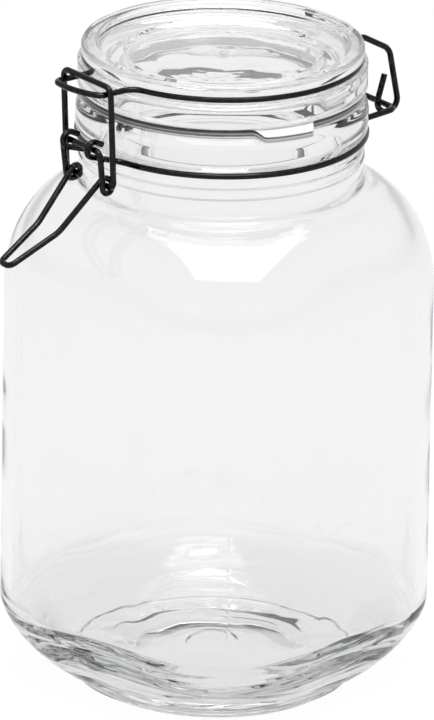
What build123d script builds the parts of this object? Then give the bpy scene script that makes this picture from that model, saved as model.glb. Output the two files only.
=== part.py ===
from build123d import *
import os
from math import asin, atan2, cos, degrees, hypot, pi, radians, sin, sqrt, tan

# A square glass canister with rounded corners and a clip-top glass lid.
# Millimetres and degrees. The origin is the centre of the base on the standing plane, +Z is up.
# The closure is drawn with its latch towards -Y and its hinge towards +Y, and is then turned.

# Jar body
body_width = 137.0              # outside, face to face
corner_reach = 76.5             # outside, axis to rounded corner
foot_width = 96.0               # standing face, across the flats
foot_corner_reach = 49.5        # standing face, axis to corner
foot_height = 3.0               # upright edge of the foot
heel_height = 29.0              # standing plane to the top of the rounded heel
heel_fullness = 1.45            # 1 is a plain slope, 2 is a quarter ellipse
straight_wall_top = 147.0       # where the straight walls turn into the shoulder
shoulder_rise = 40.0            # height of the shoulder curve
shoulder_centre = 46.0          # axis to the centre of the shoulder curve
wall = 4.0
base_thickness = 13.0
floor_width = 97.0              # inside floor, across the flats
floor_corner_reach = 59.5       # inside floor, axis to corner
push_up_radius = 40.0           # hollow under the base
push_up_depth = 4.0
section_count = 7               # outlines through which the heel and the shoulder are drawn

# Jar neck
neck_radius = 50.4
neck_height = 31.1              # shoulder top to sealing rim
neck_fillet = 4.0               # between shoulder and neck
neck_collar_drop = 1.0          # shoulder top to the outer edge of that fillet
neck_wall = 5.4
mouth_lip = 1.8                 # bore to the narrower mouth
mouth_depth = 10.0              # height of the narrower mouth
mouth_taper = 3.0               # height over which the mouth widens into the bore
rim_bead_proud = 1.6            # neck to the bead
rim_bead_height = 8.8
bead_lip = 2.5                  # height of the slope under the bead
rim_land = 3.0                  # sealing rim to the top of the bead
rim_top_inset = 1.0             # neck to the outer edge of the sealing rim
neck_ring_proud = 0.7           # two fine mould rings under the neck wire
neck_ring_height = 2.0
neck_ring_levels = (4.4, 8.4)   # below the neck wire
neck_wire_drop = 13.6           # sealing rim to the neck wire
fine_round = 0.6                # rounding of glass edges
soft_round = 1.2
full_round = 2.0

# Gasket
gasket_thickness = 3.4
gasket_overhang = 1.2           # past the outer edge of the sealing rim
gasket_bore_clearance = 0.3
seal_gap = 0.1
tab_angle = 78.0                # pull tab, turned from the latch towards +X
tab_width = 22.0
tab_length = 4.9                # past the edge of the gasket
tab_corner = 4.0
tab_thickness = 2.4
gasket_round = 0.8
gasket_bore_round = 0.4

# Lid
lid_height = 15.7               # sealing face to the top of the rim
lid_rim_inset = 0.2             # neck to the outside of the lid's rim
lid_flange_proud = 1.2          # past the outside of the rim
lid_rim_width = 5.2
lid_rim_round = 1.7
lid_rim_slope = 1.2             # sideways, inner side of the rim
lid_recess = 3.4
lid_shelf = 10.0                # inside of the rim to the dished panel
lid_panel_edge = 1.5            # sideways, step down to the dished panel
lid_panel_lip = 0.4             # drop from the rim's foot to that step
lid_dish = 1.6
lid_floor = 6.5                 # glass thickness of the panel
plug_depth = 5.6                # below the sealing face
plug_width = 5.0
plug_clearance = 1.6
plug_taper = 0.6
plug_slope = 1.5                # sideways, inner side of the plug
lid_wire_height = 10.5           # above the sealing face
lid_groove_round = 1.2          # in the bottom of the groove for the lid wire

# Wires
closure_turn = -11.0            # the wires turn freely on the round neck and stand askew
wire_diameter = 2.2
groove_clearance = 0.2
neck_wire_out = 0.8             # neck to the centre line of its wire
lid_wire_sink = 1.1             # outside of the lid's rim to the centre line of its wire
wire_bend = 4.0                 # usual inside bend, on the centre line
tight_bend = 2.4
exit_bends = 1.25               # a ring ends this many bends beside the leg that leaves it
loop_ease = 0.93                # bends of a loop, so that each leaves a short straight run

# Hinge at the back
hinge_out = 13.9                # neck to the hinge bar
hinge_half_width = 18.0
hinge_tab_root = 20.5           # half width where the tab leaves the neck ring
hook_inset = 5.0                # corner of the hinge bar to the lid's hook
hinge_clearance = 0.15
hook_bend = 4.0
hook_flat = 0.9
hook_tail = 9.5
arm_lean = 12.0
tail_lean = 17.0
arm_level_run = 1.5             # hinge arm past the lid's flange before it turns down
arm_knee_drop = 6.6             # lid wire to the knee of the hinge arm
arm_knee_bend = 6.0

# Latch at the front
nose_out = 17.1                 # ring of the lid wire to the outer bar of the nose
nose_half_width = 11.0
nose_skew = 0.15                # slope of the outer bar, which stands further out on the left
nose_bow = 2.0
nose_flat = 4.5
nose_bow_bend = 25.0
nose_corner_bend = 3.0
nose_root_bend = 6.0
hook_set_back = 6.0             # outer bar of the nose to the top bar of the link
hook_clearance = 0.8            # open pivot between link and nose
side_clearance = 0.4
link_corner_bend = 2.8
pin_end = 1.4                   # pin past the lever's coil
pivot_out = 12.0                # neck to the lever's pivot
pivot_rise = 6.6                # neck wire to the lever's pivot
crank_length = 14.2
crank_angle = -107.0            # seen with the latch to the right
coil_bend = 2.5                 # centre line of the lever's coils
coil_corners = 4
coil_gap = 0.5                  # between the two ends of one coil turn
arm_clearance = 0.5             # between lever arm and link leg
eye_bend = 2.7                  # centre line of the neck wire's eyes
eye_corners = 3
eye_turn_end = 205.0            # direction of an eye's tail
eye_tail = 3.0
eye_clearance = 0.4             # beside the bend of the lever arm
knee_out = 18.1                 # coil to the knee of the handle
knee_drop = 14.6
knee_half_width = 6.0
knee_bend = 14.0
tip_out = 37.0                  # coil to the tip of the handle
tip_drop = 24.4
tip_half_width = 2.8
tip_bend = 2.5

# Levels and places worked out from the sizes above
wire_radius = wire_diameter / 2
groove_radius = wire_radius + groove_clearance
half_width = body_width / 2
shoulder_top = straight_wall_top + shoulder_rise
rim_top = shoulder_top + neck_height
neck_wire_level = rim_top - neck_wire_drop
gasket_bottom = rim_top + seal_gap
lid_seat = gasket_bottom + gasket_thickness
lid_top = lid_seat + lid_height
lid_wire_level = lid_seat + lid_wire_height
bore_radius = neck_radius - neck_wall
mouth_radius = bore_radius - mouth_lip
rim_bead_radius = neck_radius + rim_bead_proud
rim_top_radius = neck_radius - rim_top_inset
gasket_radius = rim_top_radius + gasket_overhang
tab_reach = gasket_radius + tab_length
lid_rim_radius = neck_radius - lid_rim_inset
lid_flange_radius = lid_rim_radius + lid_flange_proud
lid_rim_bore = lid_rim_radius - lid_rim_width
lid_panel_radius = lid_rim_bore - lid_shelf
plug_radius = mouth_radius - plug_clearance
gasket_bore = plug_radius + gasket_bore_clearance
neck_ring_wire_radius = neck_radius + neck_wire_out
lid_ring_wire_radius = lid_rim_radius - lid_wire_sink
hinge_reach = neck_radius + hinge_out
nose_reach = lid_ring_wire_radius + nose_out
hook_reach = nose_reach - hook_set_back
pivot_reach = neck_radius + pivot_out
pivot = (pivot_reach, neck_wire_level + pivot_rise)
coil = (
    pivot[0] + crank_length * cos(radians(crank_angle)),
    pivot[1] + crank_length * sin(radians(crank_angle)),
)
hook = (hook_reach, lid_wire_level + wire_diameter + hook_clearance)
link_half_width = nose_half_width + wire_diameter + side_clearance
arm_half_width = link_half_width - wire_diameter - arm_clearance
leg_half_width = arm_half_width - wire_diameter - coil_gap
eye_half_width = arm_half_width - tight_bend - wire_radius - eye_clearance
hinge = (hinge_reach, neck_wire_level)
hook_half_width = hinge_half_width - hook_inset


# Shapes shared by several pieces
def rounded_square(level, half, reach):
    """A square of the given half width whose rounded corners reach that far from the axis."""
    corner = (sqrt(2) * half - reach) / (sqrt(2) - 1)
    nearly_round = 0.998 * half
    return Plane.XY.offset(level) * RectangleRounded(2 * half, 2 * half, min(corner, nearly_round))


def heel(bottom, top, half, reach, foot_half, foot_reach):
    """Heel from a small foot up to the full width, along a rounded slope."""
    sections = []
    for step in range(section_count):
        turn = radians(90 * step / (section_count - 1))
        out = sin(turn) ** (2 / heel_fullness)
        rise = 1 - abs(cos(turn)) ** (2 / heel_fullness)
        sections.append(rounded_square(
            bottom + (top - bottom) * rise,
            foot_half + (half - foot_half) * out,
            foot_reach + (reach - foot_reach) * out))
    return loft(sections)


def shoulder(bottom, height, half, reach, end_radius):
    """Shoulder from the full width in to a circle of the given radius."""
    last_turn = 90.0
    if end_radius > shoulder_centre:
        last_turn = degrees(pi / 2 - asin((end_radius - shoulder_centre) / (reach - shoulder_centre)))
    sections = []
    for step in range(section_count):
        turn = radians(last_turn * step / (section_count - 1))
        sections.append(rounded_square(
            bottom + height * sin(turn),
            shoulder_centre + (half - shoulder_centre) * cos(turn),
            shoulder_centre + (reach - shoulder_centre) * cos(turn)))
    return loft(sections)


def straight_wall(bottom, top, half, reach):
    return extrude(rounded_square(bottom, half, reach), top - bottom)


def turned(points, rounds):
    """A solid of revolution about Z from its half profile, with a rounding at each corner."""
    corners = [(radius, 0, level) for radius, level in points]
    outline = FilletPolyline(*corners, radius=rounds, close=True)
    return revolve(make_face(outline), Axis.Z)


# Wire paths
def front(side, out, level):
    """A point on the latch side: sideways, out from the axis, and height."""
    return Vector(side, -out, level)


def back(side, out, level):
    """A point on the hinge side: sideways, out from the axis, and height."""
    return Vector(side, out, level)


def ring_exit(ring_radius, half, bend):
    """Where a ring wire stops being round, and the corner at which it turns outwards."""
    exit_angle = asin((half + exit_bends * bend) / ring_radius)
    on_ring = (ring_radius * sin(exit_angle), ring_radius * cos(exit_angle))
    run = (on_ring[0] - half) / cos(exit_angle)
    corner = (half, on_ring[1] + run * sin(exit_angle))
    return on_ring, corner


def loop_corners(start, centre, radius, end_direction, turn_sense, count):
    """Corners of a bend round a centre, from a start point, and the direction in which it leaves."""
    towards = atan2(centre[1] - start[1], centre[0] - start[0])
    distance = hypot(centre[0] - start[0], centre[1] - start[1])
    first_direction = towards - turn_sense * asin(radius / distance)
    turn = (end_direction - first_direction) % (2 * pi)
    if turn_sense < 0:
        turn = turn - 2 * pi
    step = turn / count
    first_place = first_direction - turn_sense * pi / 2
    reach = radius / cos(step / 2)
    corners = []
    for index in range(count):
        place = first_place + (index + 0.5) * step
        corners.append((centre[0] + reach * cos(place), centre[1] + reach * sin(place)))
    return corners


def leaving_direction(centre, radius, end, turn_sense):
    """Direction of the tangent from a loop round a centre to a later point."""
    towards = atan2(end[1] - centre[1], end[0] - centre[0])
    distance = hypot(end[0] - centre[0], end[1] - centre[1])
    return towards + turn_sense * asin(radius / distance)


def half_wire(points, bends):
    return FilletPolyline(*points, radius=bends).edges()


def round_wire(edges):
    path = Wire(edges)
    section = Plane(origin=path @ 0, z_dir=path % 0) * Circle(wire_radius)
    return sweep(section, path=path)


def both_halves(edges):
    """Round wire along a half path, joined with its mirror image across the middle plane."""
    half = round_wire(edges)
    return half + half.mirror(Plane.YZ)


# Glass jar
def make_jar():
    outside = straight_wall(0, foot_height, foot_width / 2, foot_corner_reach)
    outside += heel(
        foot_height, heel_height, half_width, corner_reach, foot_width / 2, foot_corner_reach)
    outside += straight_wall(heel_height, straight_wall_top, half_width, corner_reach)
    outside += shoulder(straight_wall_top, shoulder_rise, half_width, corner_reach, neck_radius)

    inner_half = half_width - wall
    inner_reach = corner_reach - wall
    inside = heel(
        base_thickness, heel_height, inner_half, inner_reach, floor_width / 2, floor_corner_reach)
    inside += straight_wall(heel_height, straight_wall_top, inner_half, inner_reach)
    inside += shoulder(straight_wall_top, shoulder_rise - wall, inner_half, inner_reach, bore_radius)

    bead_top = rim_top - rim_land
    bead_bottom = bead_top - rim_bead_height
    neck_foot = shoulder_top - wall
    collar_edge = shoulder_top - neck_collar_drop
    mouth_bottom = rim_top - mouth_depth
    neck = turned(
        [
            (bore_radius, neck_foot), (neck_radius, neck_foot), (neck_radius, bead_bottom - bead_lip),
            (rim_bead_radius, bead_bottom), (rim_bead_radius, bead_top),
            (rim_top_radius, rim_top), (mouth_radius, rim_top), (mouth_radius, mouth_bottom),
            (bore_radius, mouth_bottom - mouth_taper),
        ],
        [0, 0, fine_round, soft_round, full_round, soft_round, soft_round, full_round, full_round],
    )
    collar = turned(
        [
            (bore_radius, neck_foot), (neck_radius + neck_fillet, neck_foot),
            (neck_radius + neck_fillet, collar_edge), (neck_radius, collar_edge + neck_fillet),
            (bore_radius, collar_edge + neck_fillet),
        ],
        [0, 0, 0, 0, 0],
    )
    jar = outside - inside - Pos(0, 0, straight_wall_top) * Cylinder(
        bore_radius, neck_height + shoulder_rise, align=(Align.CENTER, Align.CENTER, Align.MIN))
    jar = jar + collar + neck
    for drop in neck_ring_levels:
        jar += Pos(0, 0, neck_wire_level - drop) * Torus(
            neck_radius + neck_ring_proud - neck_ring_height / 2, neck_ring_height / 2)
    jar -= Pos(0, 0, neck_wire_level) * Torus(neck_ring_wire_radius, groove_radius)
    dome_radius = (push_up_radius ** 2 + push_up_depth ** 2) / (2 * push_up_depth)
    jar -= Pos(0, 0, push_up_depth - dome_radius) * Sphere(dome_radius)
    return jar


# Glass lid
def make_lid():
    panel_top = lid_top - lid_recess
    panel_bottom = panel_top - lid_dish - lid_floor
    plug_bottom = lid_seat - plug_depth
    plug_inside = plug_radius - plug_width
    groove_floor = lid_ring_wire_radius - groove_radius
    groove_top = lid_wire_level + groove_radius
    groove_bottom = lid_wire_level - groove_radius
    profile = [
        (0, panel_top - lid_dish, 0),
        (lid_panel_radius - lid_panel_edge, panel_top - lid_dish, soft_round),
        (lid_panel_radius, panel_top - lid_panel_lip, soft_round),
        (lid_rim_bore - lid_rim_slope, panel_top, full_round),
        (lid_rim_bore, lid_top, lid_rim_round),
        (lid_rim_radius, lid_top, full_round),
        (lid_rim_radius, groove_top, fine_round),
        (groove_floor, groove_top, lid_groove_round),
        (groove_floor, groove_bottom, lid_groove_round),
        (lid_flange_radius, groove_bottom, fine_round),
        (lid_flange_radius, lid_seat, soft_round),
        (plug_radius, lid_seat, 0),
        (plug_radius - plug_taper, plug_bottom, soft_round),
        (plug_inside, plug_bottom, soft_round),
        (plug_inside - plug_slope, panel_bottom, full_round),
        (0, panel_bottom, 0),
    ]
    points = [(radius, level) for radius, level, rounding in profile]
    rounds = [rounding for radius, level, rounding in profile]
    return turned(points, rounds)


# Rubber gasket with its pull tab
def make_gasket():
    ring = turned(
        [
            (gasket_bore, gasket_bottom), (gasket_radius, gasket_bottom),
            (gasket_radius, lid_seat), (gasket_bore, lid_seat),
        ],
        [gasket_bore_round, gasket_round, gasket_round, gasket_bore_round],
    )
    tab_root = gasket_radius - 2 * tab_corner
    tab = extrude(RectangleRounded(2 * (tab_reach - tab_root), tab_width, tab_corner), tab_thickness)
    tab_middle = gasket_bottom + (gasket_thickness - tab_thickness) / 2
    tab = Rot(0, 0, tab_angle - 90) * Pos(tab_root, 0, tab_middle) * tab
    upright = (Align.CENTER, Align.CENTER, Align.MIN)
    bore = Pos(0, 0, gasket_bottom) * Cylinder(gasket_bore, gasket_thickness, align=upright)
    return ring + (tab - bore)


# Wire round the neck: eyes for the lever in front, hinge bar behind
def make_neck_wire():
    ring_front, front_corner = ring_exit(neck_ring_wire_radius, eye_half_width, wire_bend)
    ring_back, back_corner = ring_exit(neck_ring_wire_radius, hinge_tab_root, wire_bend)
    end_direction = radians(eye_turn_end)
    eye = loop_corners(
        (front_corner[1], neck_wire_level), pivot, eye_bend, end_direction, 1, eye_corners)
    tail_start = (pivot[0] + eye_bend * sin(end_direction), pivot[1] - eye_bend * cos(end_direction))
    tail = (tail_start[0] + eye_tail * cos(end_direction), tail_start[1] + eye_tail * sin(end_direction))

    front_points = [front(eye_half_width, *tail)]
    front_points += [front(eye_half_width, *corner) for corner in reversed(eye)]
    front_points += [front(*front_corner, neck_wire_level), front(*ring_front, neck_wire_level)]
    front_bends = [eye_bend * loop_ease] * eye_corners + [wire_bend]

    ring = ThreePointArc(
        front(*ring_front, neck_wire_level),
        Vector(neck_ring_wire_radius, 0, neck_wire_level),
        back(*ring_back, neck_wire_level),
    )
    back_points = [
        back(*ring_back, neck_wire_level), back(*back_corner, neck_wire_level),
        back(hinge_half_width, *hinge), back(0, *hinge),
    ]
    edges = half_wire(front_points, front_bends) + ring.edges()
    edges += half_wire(back_points, [wire_bend, wire_bend])
    return both_halves(edges)


# Wire round the lid: nose in front, hooks for the hinge bar behind
def lid_wire_half(side):
    """Half of the lid wire from the middle of the nose: side is 1 on the right and -1 on the left."""
    ring_front, front_corner = ring_exit(lid_ring_wire_radius, nose_half_width, nose_root_bend)
    ring_back, back_corner = ring_exit(lid_ring_wire_radius, hook_half_width, wire_bend)
    skew = side * nose_skew
    nose_end = nose_reach - nose_bow - skew * nose_half_width
    nose_points = [
        front(0, nose_reach, lid_wire_level),
        front(side * nose_flat, nose_reach - skew * nose_flat, lid_wire_level),
        front(side * nose_half_width, nose_end, lid_wire_level),
        front(side * front_corner[0], front_corner[1], lid_wire_level),
        front(side * ring_front[0], ring_front[1], lid_wire_level),
    ]
    ring = ThreePointArc(
        front(side * ring_front[0], ring_front[1], lid_wire_level),
        Vector(side * lid_ring_wire_radius, 0, lid_wire_level),
        back(side * ring_back[0], ring_back[1], lid_wire_level),
    )
    hook_bottom = hinge[1] - wire_diameter - hinge_clearance
    outer = hinge[0] + hook_flat / 2 + hook_bend * tan(radians(90 + arm_lean) / 2)
    inner = hinge[0] - hook_flat / 2 - hook_bend * tan(radians(90 + tail_lean) / 2)
    knee_level = lid_wire_level - arm_knee_drop
    knee_reach = outer - (knee_level - hook_bottom) * tan(radians(arm_lean))
    tail_run = hook_tail + hook_bend * tan(radians(90 + tail_lean) / 2)
    arm = side * hook_half_width
    hinge_points = [
        back(side * ring_back[0], ring_back[1], lid_wire_level),
        back(arm, back_corner[1], lid_wire_level),
        back(arm, lid_flange_radius + arm_level_run, lid_wire_level), back(arm, knee_reach, knee_level),
        back(arm, outer, hook_bottom), back(arm, inner, hook_bottom),
        back(
            arm, inner + tail_run * sin(radians(tail_lean)),
            hook_bottom + tail_run * cos(radians(tail_lean))),
    ]
    edges = half_wire(nose_points, [nose_bow_bend, nose_corner_bend, nose_root_bend]) + ring.edges()
    edges += half_wire(hinge_points, [wire_bend, wire_bend, arm_knee_bend, hook_bend, hook_bend])
    return round_wire(edges)


def make_lid_wire():
    return lid_wire_half(1) + lid_wire_half(-1)


# Link that hooks over the lid wire's nose
def make_link():
    points = [
        front(0, *hook), front(link_half_width, *hook), front(link_half_width, *coil),
        front(leg_half_width - wire_radius - pin_end, *coil),
    ]
    return both_halves(half_wire(points, [link_corner_bend, tight_bend]))


# Lever: axle, two arms with a coil each, and the handle
def make_lever():
    knee = (coil[0] + knee_out, coil[1] - knee_drop)
    tip = (coil[0] + tip_out, coil[1] - tip_drop)
    end_direction = leaving_direction(coil, coil_bend, knee, -1)
    turns = loop_corners(pivot, coil, coil_bend, end_direction, -1, coil_corners)
    points = [front(0, *pivot), front(arm_half_width, *pivot)]
    for index, corner in enumerate(turns):
        share = (index + 0.5) / coil_corners
        points.append(front(arm_half_width + (leg_half_width - arm_half_width) * share, *corner))
    points += [front(knee_half_width, *knee), front(tip_half_width, *tip), front(0, *tip)]
    bends = [tight_bend] + [coil_bend * loop_ease] * coil_corners + [knee_bend, tip_bend]
    return both_halves(half_wire(points, bends))


closure_makers = {
    "lid": make_lid,
    "gasket": make_gasket,
    "neck_wire": make_neck_wire,
    "lid_wire": make_lid_wire,
    "link": make_link,
    "lever": make_lever,
}

os.makedirs("parts", exist_ok=True)
export_step(make_jar(), "parts/jar.step")
for name, make in closure_makers.items():
    export_step(Rot(0, 0, closure_turn) * make(), f"parts/{name}.step")
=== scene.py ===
from math import asin, cos, exp, pi, radians, sin, sqrt, tan

import bpy
from mathutils import Matrix, Vector, noise


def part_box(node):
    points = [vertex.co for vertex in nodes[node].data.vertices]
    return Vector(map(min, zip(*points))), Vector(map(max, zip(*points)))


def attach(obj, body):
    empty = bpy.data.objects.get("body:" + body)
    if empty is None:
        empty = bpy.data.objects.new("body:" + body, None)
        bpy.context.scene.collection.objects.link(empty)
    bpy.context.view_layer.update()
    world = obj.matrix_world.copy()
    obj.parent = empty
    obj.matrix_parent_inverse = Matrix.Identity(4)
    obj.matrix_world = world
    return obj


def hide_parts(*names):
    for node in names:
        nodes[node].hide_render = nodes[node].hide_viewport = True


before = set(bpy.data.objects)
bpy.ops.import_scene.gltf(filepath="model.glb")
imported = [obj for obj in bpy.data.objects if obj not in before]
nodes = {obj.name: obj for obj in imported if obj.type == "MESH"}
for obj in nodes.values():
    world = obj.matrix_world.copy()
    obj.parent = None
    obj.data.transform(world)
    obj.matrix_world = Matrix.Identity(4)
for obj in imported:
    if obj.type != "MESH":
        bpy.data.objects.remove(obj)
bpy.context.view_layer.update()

MM = 0.001

# Levels shared by jar, gasket and lid, in millimetres
jar_low, jar_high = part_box("jar")
lid_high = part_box("lid")[1]
rim_top = jar_high.z / MM
lid_top = lid_high.z / MM
neck_wire_drop = 13.6
gasket_gap = 0.1
lid_gap = 3.5
lid_wire_rise = 10.5
neck_wire_level = rim_top - neck_wire_drop
gasket_bottom = rim_top + gasket_gap
lid_seat = rim_top + lid_gap
lid_wire_level = lid_seat + lid_wire_rise

# Points round the jar and the lid, and round the gasket
ring_count = 240
gasket_count = 360

# Body of the jar: a square with round corners, given by its half width and its reach to the corner
half_width = (jar_high.x - jar_low.x) / 2 / MM
corner_reach = 76.5
wall = 4.0
wall_top = 147.0
wall_spacing = 4.0
shoulder_rise = 40.0
shoulder_centre = 46.0
shoulder_steps = 22
heel_height = 29.0
heel_fullness = 1.45
outer_heel_steps = 70
inner_heel_steps = 30
inner_heel_rise = 2.0

# Foot and underside of the jar
foot_half = 48.0
foot_reach = 49.5
foot_height = 3.0
foot_round = 1.5
push_up_radius = 40.0
push_up_depth = 4.0
recess_inner = 8.6
recess_outer = 9.8
recess_depth = 0.3
recess_round = 0.6
dome_radii = (14.0, 19.0, 24.0, 29.0)
dome_round = 2.0
dome_ring_radius = 31.0
dome_ring_drop = 0.2
dome_ring_round = 1.0
dome_edge_radius = 36.0
underside_spacing = 2.5

# Neck of the jar
neck_radius = 50.4
neck_root_reach = 3.5
neck_root_rise = 1.2
neck_root_round = 3.0
neck_spacing = 3.0
ridge_drops = (8.4, 4.4)
ridge_half = 1.2
ridge_height = 0.75
ridge_foot_round = 0.5
ridge_round = 0.9
groove_half = 1.3
groove_depth = 0.55
groove_edge_round = 0.4
groove_round = 1.0
bead_radius = 52.0
bead_drop = 3.0
bead_height = 8.8
bead_low_round = 0.9
bead_high_round = 2.2
rim_radius = 49.4
rim_round = 1.2
mouth_radius = 43.2
mouth_lip_rise = 1.7
mouth_lip_drop = 1.1
mouth_lip_round = 1.2
bore_radius = 45.0
bore_drop = 11.7
inner_root_reach = 12.0
inner_root_rise = 6.0
inner_root_round = 11.0

# Floor inside the jar
base_thickness = 13.0
floor_half = 48.5
floor_reach = 59.5
floor_dome_radius = 32.0
floor_dome_steps = 16
floor_dome_drop = 0.4
floor_dome_rise = 0.6
floor_rim_inset = 2.0
floor_rim_corner_inset = 4.0
floor_rim_dip = 0.1
floor_rim_round = 1.0
floor_edge_rise = 1.0
floor_edge_round = 0.5
floor_step_width = 1.4
floor_step_corner_width = 1.2
floor_step_rise = 1.8

# Unevenness of the jar's glass
least_radius = 20.0
outer_wave_size = 0.13
outer_wave_length = 18.0
seam_height = 0.07
seam_width = 0.35
seam_angles = (3 * pi / 4, 7 * pi / 4)
seam_step = 0.0035
seam_steps = (-3, -2, -1, 1, 2, 3)
heel_ripple = 0.035
heel_ripple_length = 3.1
heel_ripple_fade = 3.0
heel_drift = 5.0
heel_drift_length = 30.0
inner_wave_size = 0.16
inner_wave_length = 26.0
inner_wave_shift = Vector((7.0, 0, 0))
flat_wave_share = 0.3
flat_wave_length = 30.0
flat_wave_height = 6.0
streak_share = 2.4
streak_top = 46.0
streak_fade = 10.0
streak_length = 22.0
streak_height = 3.6
edge_wave_size = 1.1
edge_wave_reach = 2.5
edge_wave_radius = 40.0
edge_wave_power = 4
edge_wave_turn = 3.2
edge_wave_shift = 0.3

# Lid, from the middle of its panel outward and back under to the plug
panel_drop = 3.4
panel_middle_drop = 1.3
panel_slope_radius = 20.0
panel_slope_drop = 1.5
panel_slope_round = 4.0
panel_radius = 33.4
panel_edge_drop = 1.6
panel_step_radius = 35.2
panel_step_drop = 0.3
panel_step_round = 0.35
lid_rim_foot_radius = 43.6
lid_rim_foot_rise = 0.2
lid_rim_inner_radius = 45.0
lid_rim_inner_round = 1.1
lid_rim_radius = 50.2
lid_rim_round = 2.0
lid_rim_low_round = 0.5
lid_groove_radius = 47.8
lid_groove_half = 1.3
lid_groove_round = 1.0
flange_radius = 51.4
flange_top_round = 0.6
flange_round = 1.2
plug_radius = 41.6
plug_root_round = 0.4
plug_end_radius = 41.0
plug_inner_radius = 36.6
plug_depth = 5.6
plug_round = 1.2
hollow_radius = 35.1
hollow_drop = 8.1
hollow_round = 2.0
hollow_middle_drop = 7.6
lid_spacing = 0.8
lid_wave_size = 0.06
lid_wave_length = 17.0
panel_wave_radius = 33.0
panel_wave_size = 0.055
panel_wave_length = 9.0
panel_ring_size = 0.0012
panel_ring_length = 3.4

# Gasket, with heights above its underside and drops below its top, and its pull tab
gasket_air = 0.12
gasket_inner = 41.9
gasket_middle = 46.0
gasket_outer = 50.6
gasket_inner_round = 0.8
gasket_outer_round = 0.4
gasket_low_rib_top = 0.5
gasket_low_groove_radius = 48.2
gasket_low_groove_bottom = 0.6
gasket_low_groove_top = 1.1
gasket_rib_radius = 50.0
gasket_rib_bottom = 1.2
gasket_rib_drop = 1.6
gasket_top_groove_radius = 44.6
gasket_top_groove_low_drop = 1.5
gasket_top_groove_high_drop = 0.5
gasket_lip_radius = 50.4
gasket_lip_drop = 0.3
gasket_groove_round = 0.15
gasket_lip_round = 0.1
gasket_spacing = 0.8
gasket_round_steps = 4
closure_turn = radians(-11.0)
front_direction = radians(-90.0)
tab_azimuth = radians(78.0)
tab_direction = front_direction + tab_azimuth + closure_turn
tab_half = radians(11.6)
tab_edge = radians(2.2)
tab_length = 4.6
tab_droop = 1.1
tab_thinning = 0.3
tab_fill_radius = 47.0
tab_skin = 0.3

# Looks of the glass
glass_ripple = 0.05
jar_glass_density = 34.0
lid_glass_density = 4.0

# Camera, from the photograph, with lengths in metres and its sensor in millimetres
camera_azimuth = radians(41.0)
camera_elevation = radians(20.0)
camera_roll = radians(1.0)
camera_distance = 5.0
camera_sensor = 24.0
camera_far_end = 100.0
pixels_per_metre = 2812.0
frame_height = 720.0
aim_height = 0.1175
aim_pixel_right = 0.63

# Ground in metres: its glow for the camera, and its glow in glass and metal near the jar and far off,
# dimmer near the jar as a painted shadow
ground_size = 1.5
ground_drop = 0.0003
ground_white = 0.1
ground_glow = 0.95
ground_near = 0.1
# Dimmer glow near the jar in glass and metal: a painted shadow round the jar
ground_painted_shadow_glow = 0.77
ground_far = 0.15
ground_far_glow = 0.862

# Studio's greys in glass and metal, from 0 straight down to 1 straight up, and lamps in metres
world_light = 0.2
ceiling_grey = 0.8
horizon_grey = 0.66
backdrop_grey = 0.92
studio_tones = [
    (0.44, backdrop_grey), (0.485, horizon_grey), (0.545, horizon_grey),
    (0.59, backdrop_grey), (0.75, backdrop_grey), (0.84, ceiling_grey),
]
softbox_power = 11.5
softbox_width = 1.22
softbox_depth = 1.5
softbox_height = 1.17
softbox_forward = 0.35
softbox_right = 0.1
glint_power = 5.0
glint_width = 0.55
glint_depth = 0.22
glint_drop = 0.02


# Mesh helpers
def new_object(name, vertices, faces, material, body):
    """A smooth mesh that moves with a body."""
    mesh = bpy.data.meshes.new(name)
    mesh.from_pydata(vertices, [], faces)
    mesh.update()
    for polygon in mesh.polygons:
        polygon.use_smooth = True
    made = bpy.data.objects.new(name, mesh)
    bpy.context.scene.collection.objects.link(made)
    mesh.materials.append(material)
    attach(made, body)
    return made


def outline_radius(half, reach, angle):
    """Distance from the axis to a rounded square of that half width and corner reach."""
    round_size = min(max((sqrt(2) * half - reach) / (sqrt(2) - 1), 0.0), half)
    turn = abs((angle + pi / 4) % (pi / 2) - pi / 4)
    centre = half - round_size
    if half * tan(turn) <= centre:
        return half / cos(turn)
    along = centre * (cos(turn) + sin(turn))
    return along + sqrt(max(along * along - 2 * centre * centre + round_size * round_size, 0.0))


def round_ring(radius, level):
    """A ring of (half width, corner reach, level) that is a circle."""
    return (radius, radius, level)


def rounded_path(corners, steps=5):
    """Points along straight runs between corners, each a place and the length its rounding takes."""
    most_of_run = 0.48
    path = []
    last = len(corners) - 1
    for index, (place, rounding) in enumerate(corners):
        here = Vector(place)
        if rounding == 0 or index in (0, last):
            path.append(here)
            continue
        before = Vector(corners[index - 1][0]) - here
        after = Vector(corners[index + 1][0]) - here
        start = here + before * min(rounding / before.length, most_of_run)
        end = here + after * min(rounding / after.length, most_of_run)
        for step in range(steps + 1):
            share = step / steps
            path.append(start * (1 - share) ** 2 + here * 2 * share * (1 - share) + end * share ** 2)
    return path


def densify(path, longest):
    """The same path with no run longer than that."""
    round_up = 0.999
    dense = [path[0]]
    for here in path[1:]:
        run = here - dense[-1]
        parts = max(1, int(run.length / longest + round_up))
        start = dense[-1].copy()
        for part in range(1, parts + 1):
            dense.append(start + run * part / parts)
    return dense


def even_angles(count):
    """That many angles, evenly round the axis."""
    return [2 * pi * step / count for step in range(count)]


def shell(rings, angles, place):
    """Closed surface through rings, of which the first and the last are points."""
    vertices = [place(rings[0], 0.0)]
    for ring in rings[1:-1]:
        vertices += [place(ring, angle) for angle in angles]
    vertices.append(place(rings[-1], 0.0))
    count = len(angles)
    inner = len(rings) - 2
    faces = []
    for step in range(count):
        faces.append((0, 1 + (step + 1) % count, 1 + step))
    for row in range(inner - 1):
        low = 1 + row * count
        for step in range(count):
            after = (step + 1) % count
            faces.append((low + step, low + after, low + count + after, low + count + step))
    low = 1 + (inner - 1) * count
    for step in range(count):
        faces.append((low + step, low + (step + 1) % count, len(vertices) - 1))
    return vertices, faces


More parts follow.
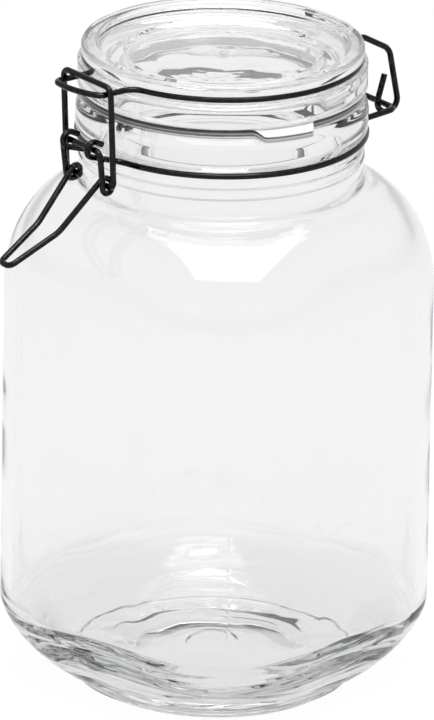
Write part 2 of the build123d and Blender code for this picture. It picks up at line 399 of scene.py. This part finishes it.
# Materials
def new_material(name):
    material = bpy.data.materials.new(name)
    material.use_nodes = True
    tree = material.node_tree
    shader = tree.nodes["Principled BSDF"]
    return material, tree, shader


def add_noise(tree, scale, detail, stretch=(1, 1, 1)):
    place = tree.nodes.new("ShaderNodeTexCoord")
    mapping = tree.nodes.new("ShaderNodeMapping")
    mapping.inputs["Scale"].default_value = stretch
    texture = tree.nodes.new("ShaderNodeTexNoise")
    texture.inputs["Scale"].default_value = scale
    texture.inputs["Detail"].default_value = detail
    tree.links.new(place.outputs["Object"], mapping.inputs["Vector"])
    tree.links.new(mapping.outputs["Vector"], texture.inputs["Vector"])
    return texture


def add_bump(tree, shader, height, strength, distance):
    bump = tree.nodes.new("ShaderNodeBump")
    bump.inputs["Strength"].default_value = strength
    bump.inputs["Distance"].default_value = distance
    tree.links.new(height, bump.inputs["Height"])
    tree.links.new(bump.outputs["Normal"], shader.inputs["Normal"])


def add_colours(tree, texture, dark, light):
    """Base colour between two tones, each a place on the texture's scale and a colour."""
    colours = tree.nodes.new("ShaderNodeValToRGB")
    for element, (place, colour) in zip(colours.color_ramp.elements, (dark, light)):
        element.position = place
        element.color = (*colour, 1)
    tree.links.new(texture.outputs["Fac"], colours.inputs["Fac"])
    shader = tree.nodes["Principled BSDF"]
    tree.links.new(colours.outputs["Color"], shader.inputs["Base Color"])


def glass_material(name, ripple, density):
    """Clear glass with slight upright ripples, which darkens with its thickness."""
    material, tree, shader = new_material(name)
    shader.inputs["Base Color"].default_value = (0.985, 0.985, 0.985, 1)
    shader.inputs["Transmission Weight"].default_value = 1.0
    shader.inputs["Roughness"].default_value = 0.0
    shader.inputs["IOR"].default_value = 1.5
    waves = add_noise(tree, scale=38.0, detail=2.0, stretch=(1, 1, 0.35))
    add_bump(tree, shader, waves.outputs["Fac"], strength=ripple, distance=0.0006)
    absorption = tree.nodes.new("ShaderNodeVolumeAbsorption")
    absorption.inputs["Color"].default_value = (0.895, 0.9, 0.9, 1)
    absorption.inputs["Density"].default_value = density
    tree.links.new(absorption.outputs["Volume"], tree.nodes["Material Output"].inputs["Volume"])
    return material


def wire_material(name):
    """Smooth metal with a fine grain, its near-black colour painted shade: the dark surroundings a bright
    wire reflects, put into its colour.
    """
    material, tree, shader = new_material(name)
    shader.inputs["Metallic"].default_value = 1.0
    grain = add_noise(tree, scale=900.0, detail=3.0)
    # Near-black tones: painted shade standing in for the dark reflections of a bright wire
    add_colours(tree, grain, dark=(0.3, (0.012, 0.0122, 0.0125)), light=(0.7, (0.03, 0.0303, 0.0308)))
    rough = tree.nodes.new("ShaderNodeMapRange")
    rough.inputs["To Min"].default_value = 0.06
    rough.inputs["To Max"].default_value = 0.16
    tree.links.new(grain.outputs["Fac"], rough.inputs["Value"])
    tree.links.new(rough.outputs["Result"], shader.inputs["Roughness"])
    return material


def rubber_material(name):
    """Pale rubber, slightly mottled and translucent."""
    material, tree, shader = new_material(name)
    mottle = add_noise(tree, scale=420.0, detail=4.0)
    add_colours(tree, mottle, dark=(0.0, (0.78, 0.78, 0.77)), light=(1.0, (0.88, 0.88, 0.87)))
    shader.inputs["Roughness"].default_value = 0.45
    shader.inputs["Subsurface Weight"].default_value = 0.2
    shader.inputs["Subsurface Radius"].default_value = (0.002, 0.002, 0.002)
    add_bump(tree, shader, mottle.outputs["Fac"], strength=0.15, distance=0.0002)
    return material


# Outside of the glass jar
def heel_rings(bottom, top, half, reach, low_half, low_reach, count):
    """Rings up the rounded heel, from the low sizes to the body's."""
    rings = []
    for step in range(count + 1):
        turn = pi / 2 * step / count
        out = sin(turn) ** (2 / heel_fullness)
        rise = 1 - abs(cos(turn)) ** (2 / heel_fullness)
        rings.append(Vector((
            low_half + (half - low_half) * out,
            low_reach + (reach - low_reach) * out,
            bottom + (top - bottom) * rise)))
    return rings


def shoulder_rings(bottom, rise, half, reach, last_reach):
    """Rings up the rounded shoulder, from the body's sizes to the last reach."""
    last_turn = pi / 2 - asin((last_reach - shoulder_centre) / (reach - shoulder_centre))
    rings = []
    for step in range(shoulder_steps + 1):
        turn = last_turn * step / shoulder_steps
        rings.append(Vector((
            shoulder_centre + (half - shoulder_centre) * cos(turn),
            shoulder_centre + (reach - shoulder_centre) * cos(turn),
            bottom + rise * sin(turn))))
    return rings


def push_up_level(radius):
    """Height of the shallow dome under the base."""
    dome = (push_up_radius ** 2 + push_up_depth ** 2) / (2 * push_up_depth)
    return push_up_depth - dome + sqrt(dome ** 2 - radius ** 2)


def underside_rings():
    """Rings of the dome, with a round recess in its middle and a low ring near its edge."""
    path = [
        (round_ring(0, push_up_level(0) + recess_depth), 0),
        (round_ring(recess_inner, push_up_level(recess_inner) + recess_depth), recess_round),
        (round_ring(recess_outer, push_up_level(recess_outer)), recess_round),
    ]
    path += [(round_ring(radius, push_up_level(radius)), dome_round) for radius in dome_radii]
    path += [
        (round_ring(dome_ring_radius, push_up_level(dome_ring_radius) - dome_ring_drop), dome_ring_round),
        (round_ring(dome_edge_radius, push_up_level(dome_edge_radius)), dome_round),
        (round_ring(push_up_radius, 0), 0),
    ]
    return densify(rounded_path(path), underside_spacing)[:-1]


def foot_rings():
    """Rings round the edge of the foot."""
    return rounded_path([
        (round_ring(push_up_radius, 0), 0),
        ((foot_half, foot_reach, 0), foot_round),
        ((foot_half, foot_reach, foot_height), 0),
    ])[1:-1]


def neck_rings(edge):
    """Rings from the shoulder's edge up the neck, over the rim and down into the bore."""
    bead_top = rim_top - bead_drop
    path = [
        (tuple(edge), 0),
        (round_ring(neck_radius, edge.z + neck_root_rise), neck_root_round),
    ]
    for drop in ridge_drops:
        ridge = neck_wire_level - drop
        path += [
            (round_ring(neck_radius, ridge - ridge_half), ridge_foot_round),
            (round_ring(neck_radius + ridge_height, ridge), ridge_round),
            (round_ring(neck_radius, ridge + ridge_half), ridge_foot_round),
        ]
    path += [
        (round_ring(neck_radius, neck_wire_level - groove_half), groove_edge_round),
        (round_ring(neck_radius - groove_depth, neck_wire_level), groove_round),
        (round_ring(bead_radius, bead_top - bead_height), bead_low_round),
        (round_ring(bead_radius, bead_top), bead_high_round),
        (round_ring(rim_radius, rim_top), rim_round),
        (round_ring(mouth_radius, rim_top), rim_round),
        (round_ring(mouth_radius, neck_wire_level + mouth_lip_rise), mouth_lip_round),
        (round_ring(bore_radius, neck_wire_level - mouth_lip_drop), mouth_lip_round),
        (round_ring(bore_radius, neck_wire_level - bore_drop), 0),
    ]
    return densify(rounded_path(path), neck_spacing)


def jar_outside():
    rings = underside_rings() + foot_rings()
    rings += heel_rings(
        foot_height, heel_height, half_width, corner_reach, foot_half, foot_reach, outer_heel_steps)
    rings += densify([rings[-1], Vector((half_width, corner_reach, wall_top))], wall_spacing)[1:-1]
    rings += shoulder_rings(
        wall_top, shoulder_rise, half_width, corner_reach, neck_radius + neck_root_reach)
    edge = rings.pop()
    return rings + neck_rings(edge)


# Inside of the glass jar
def floor_rings(edge_level):
    """Rings of the inner floor, slightly domed in the middle, and the edge round it."""
    low = base_thickness - floor_dome_drop
    rings = []
    for step in range(floor_dome_steps + 1):
        radius = floor_dome_radius * step / floor_dome_steps
        rise = floor_dome_rise * cos(radius / floor_dome_radius * pi / 2) ** 2
        rings.append(Vector(round_ring(radius, low + rise)))
    rim = (
        floor_half - floor_rim_inset,
        floor_reach - floor_rim_corner_inset,
        base_thickness - floor_rim_dip)
    step_top = (
        floor_half + floor_step_width,
        floor_reach + floor_step_corner_width,
        edge_level + floor_step_rise)
    rings += rounded_path([
        (round_ring(floor_dome_radius, low), 0),
        (rim, floor_rim_round),
        ((floor_half, floor_reach, edge_level), floor_edge_round),
        (step_top, 0),
    ])[1:-1]
    return rings


def inner_neck_rings(edge):
    """Rings from the shoulder's inner edge round into the bore."""
    path = rounded_path([
        (tuple(edge), 0),
        (round_ring(bore_radius, edge.z + inner_root_rise), inner_root_round),
        (round_ring(bore_radius, neck_wire_level - bore_drop), 0),
    ])
    return densify(path, neck_spacing)[:-1]


def jar_inside():
    half = half_width - wall
    reach = corner_reach - wall
    edge_level = base_thickness + floor_edge_rise
    rings = floor_rings(edge_level)
    rings += heel_rings(
        edge_level + floor_step_rise, heel_height + inner_heel_rise, half, reach,
        floor_half + floor_step_width, floor_reach + floor_step_corner_width, inner_heel_steps)
    rings += densify([rings[-1], Vector((half, reach, wall_top))], wall_spacing)[1:-1]
    rings += shoulder_rings(
        wall_top, shoulder_rise - wall, half, reach, bore_radius + inner_root_reach)
    edge = rings.pop()
    return rings + inner_neck_rings(edge)


# Unevenness of the jar's glass, worked out in millimetres
def outer_push(x, y, level, angle, radius):
    """Broad waves and ripples on the heel, both inward only, and two upright seams."""
    push = outer_wave_size * (noise.noise(Vector((x, y, level)) / outer_wave_length) - 1.0)
    off_seam = radius * min(abs((angle - seam + pi) % (2 * pi) - pi) for seam in seam_angles)
    push += seam_height * exp(-(off_seam / seam_width) ** 2)
    if foot_height < level < heel_height:
        drift = heel_drift * noise.noise(Vector((x, y, level)) / heel_drift_length)
        swell = sin(2 * pi * level / heel_ripple_length + drift) - 1.0
        fade = min(heel_height - level, level - foot_height, heel_ripple_fade) / heel_ripple_fade
        push += heel_ripple * fade * swell
    return push


def inner_push(x, y, level):
    """Broad waves, flatter ones, and level streaks near the floor."""
    wave = noise.noise(Vector((x, y, level)) / inner_wave_length + inner_wave_shift)
    flat_place = Vector((x / flat_wave_length, y / flat_wave_length, level / flat_wave_height))
    wave += flat_wave_share * noise.noise(flat_place)
    if level < streak_top:
        fade = min(streak_top - level, streak_fade) / streak_fade
        streak_place = Vector((x / streak_length, y / streak_length, level / streak_height))
        wave += streak_share * fade * noise.noise(streak_place)
    return inner_wave_size * wave


def floor_edge_lift(level, angle, radius):
    """How far the edge of the inner floor wanders up and down."""
    off_edge = level - base_thickness - floor_edge_rise
    near_edge = exp(-(off_edge / edge_wave_reach) ** 2)
    near_edge *= min(radius / edge_wave_radius, 1.0) ** edge_wave_power
    place = Vector((cos(angle), sin(angle), edge_wave_shift)) * edge_wave_turn
    return near_edge * edge_wave_size * noise.noise(place)


def jar_place(tagged_ring, angle):
    """Point in metres at an angle on a ring, which comes with whether it lies inside the jar."""
    (half, reach, level), inside = tagged_ring
    radius = outline_radius(half, reach, angle) if half > 0 else 0.0
    x = radius * cos(angle)
    y = radius * sin(angle)
    if inside:
        push = inner_push(x, y, level)
        level += floor_edge_lift(level, angle, radius)
    else:
        push = outer_push(x, y, level, angle, radius)
    stretch = 1 + push / max(radius, least_radius)
    return (x * stretch * MM, y * stretch * MM, level * MM)


def make_jar(material):
    angles = even_angles(ring_count)
    for seam in seam_angles:
        for step in seam_steps:
            angles.append(seam + step * seam_step)
    angles.sort()
    rings = [(ring, False) for ring in jar_outside()]
    rings += [(ring, True) for ring in reversed(jar_inside())]
    vertices, faces = shell(rings, angles, jar_place)
    jar = new_object("jar_glass", vertices, faces, material, "jar")
    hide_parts("jar")


# Glass lid
def lid_rings():
    """Rings from the middle of the underside round to the middle of the panel."""
    panel_top = lid_top - panel_drop
    groove_top = lid_wire_level + lid_groove_half
    groove_bottom = lid_wire_level - lid_groove_half
    plug_end = lid_seat - plug_depth
    path = [
        (round_ring(0, panel_top - panel_middle_drop), 0),
        (round_ring(panel_slope_radius, panel_top - panel_slope_drop), panel_slope_round),
        (round_ring(panel_radius, panel_top - panel_edge_drop), panel_step_round),
        (round_ring(panel_step_radius, panel_top - panel_step_drop), panel_step_round),
        (round_ring(lid_rim_foot_radius, panel_top + lid_rim_foot_rise), lid_rim_inner_round),
        (round_ring(lid_rim_inner_radius, lid_top), lid_rim_inner_round),
        (round_ring(lid_rim_radius, lid_top), lid_rim_round),
        (round_ring(lid_rim_radius, groove_top), lid_rim_low_round),
        (round_ring(lid_groove_radius, groove_top), lid_groove_round),
        (round_ring(lid_groove_radius, groove_bottom), lid_groove_round),
        (round_ring(flange_radius, groove_bottom), flange_top_round),
        (round_ring(flange_radius, lid_seat), flange_round),
        (round_ring(plug_radius, lid_seat), plug_root_round),
        (round_ring(plug_end_radius, plug_end), plug_round),
        (round_ring(plug_inner_radius, plug_end), plug_round),
        (round_ring(hollow_radius, panel_top - hollow_drop), hollow_round),
        (round_ring(0, panel_top - hollow_middle_drop), 0),
    ]
    return densify(rounded_path(path), lid_spacing)[::-1]


def lid_place(ring, angle):
    """Point of a ring at an angle, in metres, with the waves of the pressed top and of the panel."""
    radius = ring[0]
    level = ring[2]
    x = radius * cos(angle)
    y = radius * sin(angle)
    lift = 0.0
    if level > lid_wire_level:
        lift = lid_wave_size * (noise.noise(Vector((x, y, level)) / lid_wave_length) - 1.0)
    if radius < panel_wave_radius:
        lift += panel_ring_size * sin(radius * 2 * pi / panel_ring_length)
        lift += panel_wave_size * noise.noise(Vector((x / panel_wave_length, y / panel_wave_length, level)))
    return (x * MM, y * MM, (level + lift) * MM)


def make_lid(material):
    vertices, faces = shell(lid_rings(), even_angles(ring_count), lid_place)
    lid = new_object("lid_glass", vertices, faces, material, "lid")
    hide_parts("lid")


# Rubber gasket with its pull tab
def gasket_section():
    """Section of the ring as (radius, level), with a groove below its rib and one above."""
    low = gasket_bottom
    high = lid_seat - gasket_air
    corners = [
        (gasket_middle, low, 0),
        (gasket_outer, low, gasket_outer_round),
        (gasket_outer, low + gasket_low_rib_top, gasket_groove_round),
        (gasket_low_groove_radius, low + gasket_low_groove_bottom, gasket_groove_round),
        (gasket_low_groove_radius, low + gasket_low_groove_top, gasket_groove_round),
        (gasket_rib_radius, low + gasket_rib_bottom, gasket_groove_round),
        (gasket_rib_radius, high - gasket_rib_drop, gasket_groove_round),
        (gasket_top_groove_radius, high - gasket_top_groove_low_drop, gasket_groove_round),
        (gasket_top_groove_radius, high - gasket_top_groove_high_drop, gasket_groove_round),
        (gasket_lip_radius, high - gasket_lip_drop, gasket_lip_round),
        (gasket_lip_radius, high, gasket_lip_round),
        (gasket_inner, high, gasket_inner_round),
        (gasket_inner, low, gasket_inner_round),
        (gasket_middle, low, 0),
    ]
    places = [(round_ring(radius, level), rounding) for radius, level, rounding in corners]
    path = rounded_path(places, gasket_round_steps)
    return [(point[0], point[2]) for point in densify(path, gasket_spacing)][:-1]


def gasket_place(radius, level, angle, blend):
    """Point of the section at an angle, in metres, drawn out into the tab by the blend."""
    middle = (gasket_bottom + lid_seat) / 2
    if radius > tab_fill_radius and gasket_bottom + tab_skin < level < lid_seat - tab_skin:
        radius += blend * (gasket_outer - radius)
    share = blend * max(radius - gasket_middle, 0.0) / (gasket_outer - gasket_middle)
    out = radius + tab_length * share
    height = middle + (level - middle) * (1 - tab_thinning * share) - tab_droop * share * share
    return (out * cos(angle) * MM, out * sin(angle) * MM, height * MM)


def make_gasket(material):
    section = gasket_section()
    vertices = []
    for angle in even_angles(gasket_count):
        off_tab = abs((angle - tab_direction + pi) % (2 * pi) - pi)
        blend = min(max((tab_half + tab_edge - off_tab) / (2 * tab_edge), 0.0), 1.0)
        blend = blend * blend * (3 - 2 * blend)
        vertices += [gasket_place(radius, level, angle, blend) for radius, level in section]
    size = len(section)
    faces = []
    for step in range(gasket_count):
        here = step * size
        after = (step + 1) % gasket_count * size
        for point in range(size):
            beside = (point + 1) % size
            faces.append((here + point, after + point, after + beside, here + beside))
    gasket = new_object("gasket_rubber", vertices, faces, material, "lid")
    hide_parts("gasket")


# Wires of the closure, whose solids stay as they are
def dress_wires(material):
    for wire_name in ("neck_wire", "lid_wire", "link", "lever"):
        slots = nodes[wire_name].data.materials
        slots.clear()
        slots.append(material)


# Camera
def make_camera():
    data = bpy.data.cameras.new("camera")
    camera = bpy.data.objects.new("camera", data)
    bpy.context.scene.collection.objects.link(camera)
    data.sensor_fit = "VERTICAL"
    data.sensor_height = camera_sensor
    data.lens = camera_sensor * pixels_per_metre * camera_distance / frame_height
    data.clip_end = camera_far_end
    data.shift_x = -aim_pixel_right / frame_height
    direction = Vector((
        sin(camera_azimuth) * cos(camera_elevation),
        -cos(camera_azimuth) * cos(camera_elevation),
        sin(camera_elevation)))
    aim = Vector((0, 0, aim_height))
    turn = direction.to_track_quat("Z", "Y").to_matrix().to_4x4()
    roll = Matrix.Rotation(camera_roll, 4, "Z")
    camera.matrix_world = Matrix.Translation(aim + direction * camera_distance) @ turn @ roll
    bpy.context.scene.camera = camera


# Ground, light and background
def seen_rays(tree):
    """One for rays from the camera and for those that glass or metal sends on, otherwise zero."""
    path = tree.nodes.new("ShaderNodeLightPath")
    first = tree.nodes.new("ShaderNodeMath")
    first.operation = "MAXIMUM"
    second = tree.nodes.new("ShaderNodeMath")
    second.operation = "MAXIMUM"
    tree.links.new(path.outputs["Is Camera Ray"], first.inputs[0])
    tree.links.new(path.outputs["Is Glossy Ray"], first.inputs[1])
    tree.links.new(first.outputs["Value"], second.inputs[0])
    tree.links.new(path.outputs["Is Transmission Ray"], second.inputs[1])
    return path, second.outputs["Value"]


def ground_glow_with_painted_shadow(tree):
    """Glow of the ground as glass and metal show it, by the distance from the jar's axis, dimmer near the
    jar as a painted shadow.
    """
    place = tree.nodes.new("ShaderNodeTexCoord")
    away = tree.nodes.new("ShaderNodeVectorMath")
    away.operation = "LENGTH"
    tones = tree.nodes.new("ShaderNodeMapRange")
    tones.interpolation_type = "SMOOTHSTEP"
    tones.inputs["From Min"].default_value = ground_near
    tones.inputs["From Max"].default_value = ground_far
    tones.inputs["To Min"].default_value = ground_painted_shadow_glow
    tones.inputs["To Max"].default_value = ground_far_glow
    tree.links.new(place.outputs["Object"], away.inputs[0])
    tree.links.new(away.outputs["Value"], tones.inputs["Value"])
    return tones.outputs["Result"]


def ground_material():
    """Dull ground that takes the shadow, with a glow that only the camera, glass and metal see, and that
    glass and metal see dimmer near the jar as a painted shadow.
    """
    material = bpy.data.materials.new("white_floor")
    material.use_nodes = True
    tree = material.node_tree
    tree.nodes.clear()
    output = tree.nodes.new("ShaderNodeOutputMaterial")
    diffuse = tree.nodes.new("ShaderNodeBsdfDiffuse")
    diffuse.inputs["Color"].default_value = (ground_white, ground_white, ground_white, 1)
    glow = tree.nodes.new("ShaderNodeEmission")
    share = tree.nodes.new("ShaderNodeMath")
    share.operation = "MULTIPLY"
    direct = tree.nodes.new("ShaderNodeMix")
    direct.inputs["B"].default_value = ground_glow
    total = tree.nodes.new("ShaderNodeAddShader")
    path, seen = seen_rays(tree)
    tree.links.new(path.outputs["Is Camera Ray"], direct.inputs["Factor"])
    tree.links.new(ground_glow_with_painted_shadow(tree), direct.inputs["A"])
    tree.links.new(seen, share.inputs[0])
    tree.links.new(direct.outputs["Result"], share.inputs[1])
    tree.links.new(share.outputs["Value"], glow.inputs["Strength"])
    tree.links.new(diffuse.outputs["BSDF"], total.inputs[0])
    tree.links.new(glow.outputs["Emission"], total.inputs[1])
    tree.links.new(total.outputs["Shader"], output.inputs["Surface"])
    return material


def make_ground():
    mesh = bpy.data.meshes.new("floor")
    signs = ((-1, -1), (1, -1), (1, 1), (-1, 1))
    corners = [(right * ground_size, back * ground_size, -ground_drop) for right, back in signs]
    mesh.from_pydata(corners, [], [(0, 1, 2, 3)])
    floor = bpy.data.objects.new("floor", mesh)
    bpy.context.scene.collection.objects.link(floor)
    mesh.materials.append(ground_material())


def add_background(tree):
    background = tree.nodes.new("ShaderNodeBackground")
    background.inputs["Color"].default_value = (1, 1, 1, 1)
    return background


def studio_background(tree):
    """Background for glass and metal: the studio's greys by height, the same from every side."""
    studio = add_background(tree)
    place = tree.nodes.new("ShaderNodeTexCoord")
    split = tree.nodes.new("ShaderNodeSeparateXYZ")
    upward = tree.nodes.new("ShaderNodeMapRange")
    upward.inputs["From Min"].default_value = -1.0
    heights = tree.nodes.new("ShaderNodeValToRGB")
    elements = heights.color_ramp.elements
    for height, _ in studio_tones[len(elements):]:
        elements.new(height)
    for element, (height, tone) in zip(elements, studio_tones):
        element.position = height
        element.color = (tone, tone, tone, 1)
    tree.links.new(place.outputs["Generated"], split.inputs["Vector"])
    tree.links.new(split.outputs["Z"], upward.inputs["Value"])
    tree.links.new(upward.outputs["Result"], heights.inputs["Fac"])
    tree.links.new(heights.outputs["Color"], studio.inputs["Color"])
    return studio


def make_world():
    """White for the camera, the studio for glass and metal, and a low even light for the rest."""
    world = bpy.data.worlds.new("studio")
    bpy.context.scene.world = world
    world.use_nodes = True
    tree = world.node_tree
    tree.nodes.clear()
    output = tree.nodes.new("ShaderNodeOutputWorld")
    light = add_background(tree)
    light.inputs["Strength"].default_value = world_light
    white = add_background(tree)
    studio = studio_background(tree)
    direct = tree.nodes.new("ShaderNodeMixShader")
    mix = tree.nodes.new("ShaderNodeMixShader")
    path, seen = seen_rays(tree)
    tree.links.new(path.outputs["Is Camera Ray"], direct.inputs["Fac"])
    tree.links.new(studio.outputs["Background"], direct.inputs[1])
    tree.links.new(white.outputs["Background"], direct.inputs[2])
    tree.links.new(seen, mix.inputs["Fac"])
    tree.links.new(light.outputs["Background"], mix.inputs[1])
    tree.links.new(direct.outputs["Shader"], mix.inputs[2])
    tree.links.new(mix.outputs["Shader"], output.inputs["Surface"])


def make_lamp(name, height, width, depth, power):
    """A lamp overhead, facing down, with its sides square to the view."""
    data = bpy.data.lights.new(name, "AREA")
    data.shape = "RECTANGLE"
    data.size = width
    data.size_y = depth
    data.energy = power
    lamp = bpy.data.objects.new(name, data)
    bpy.context.scene.collection.objects.link(lamp)
    turn = Matrix.Rotation(camera_azimuth, 4, "Z")
    lamp.matrix_world = turn @ Matrix.Translation((softbox_right, -softbox_forward, height))


scene = bpy.context.scene
scene.view_settings.view_transform = "Standard"
scene.cycles.max_bounces = 40
scene.cycles.transmission_bounces = 40
scene.cycles.glossy_bounces = 12
scene.cycles.transparent_max_bounces = 40

make_camera()
make_ground()
make_world()
make_lamp("softbox", softbox_height, softbox_width, softbox_depth, softbox_power)
make_lamp("glint", softbox_height - glint_drop, glint_width, glint_depth, glint_power)

make_jar(glass_material("clear_glass", glass_ripple, jar_glass_density))
make_lid(glass_material("lid_glass", glass_ripple, lid_glass_density))
dress_wires(wire_material("bright_wire_painted_dark"))
make_gasket(rubber_material("pale_rubber"))
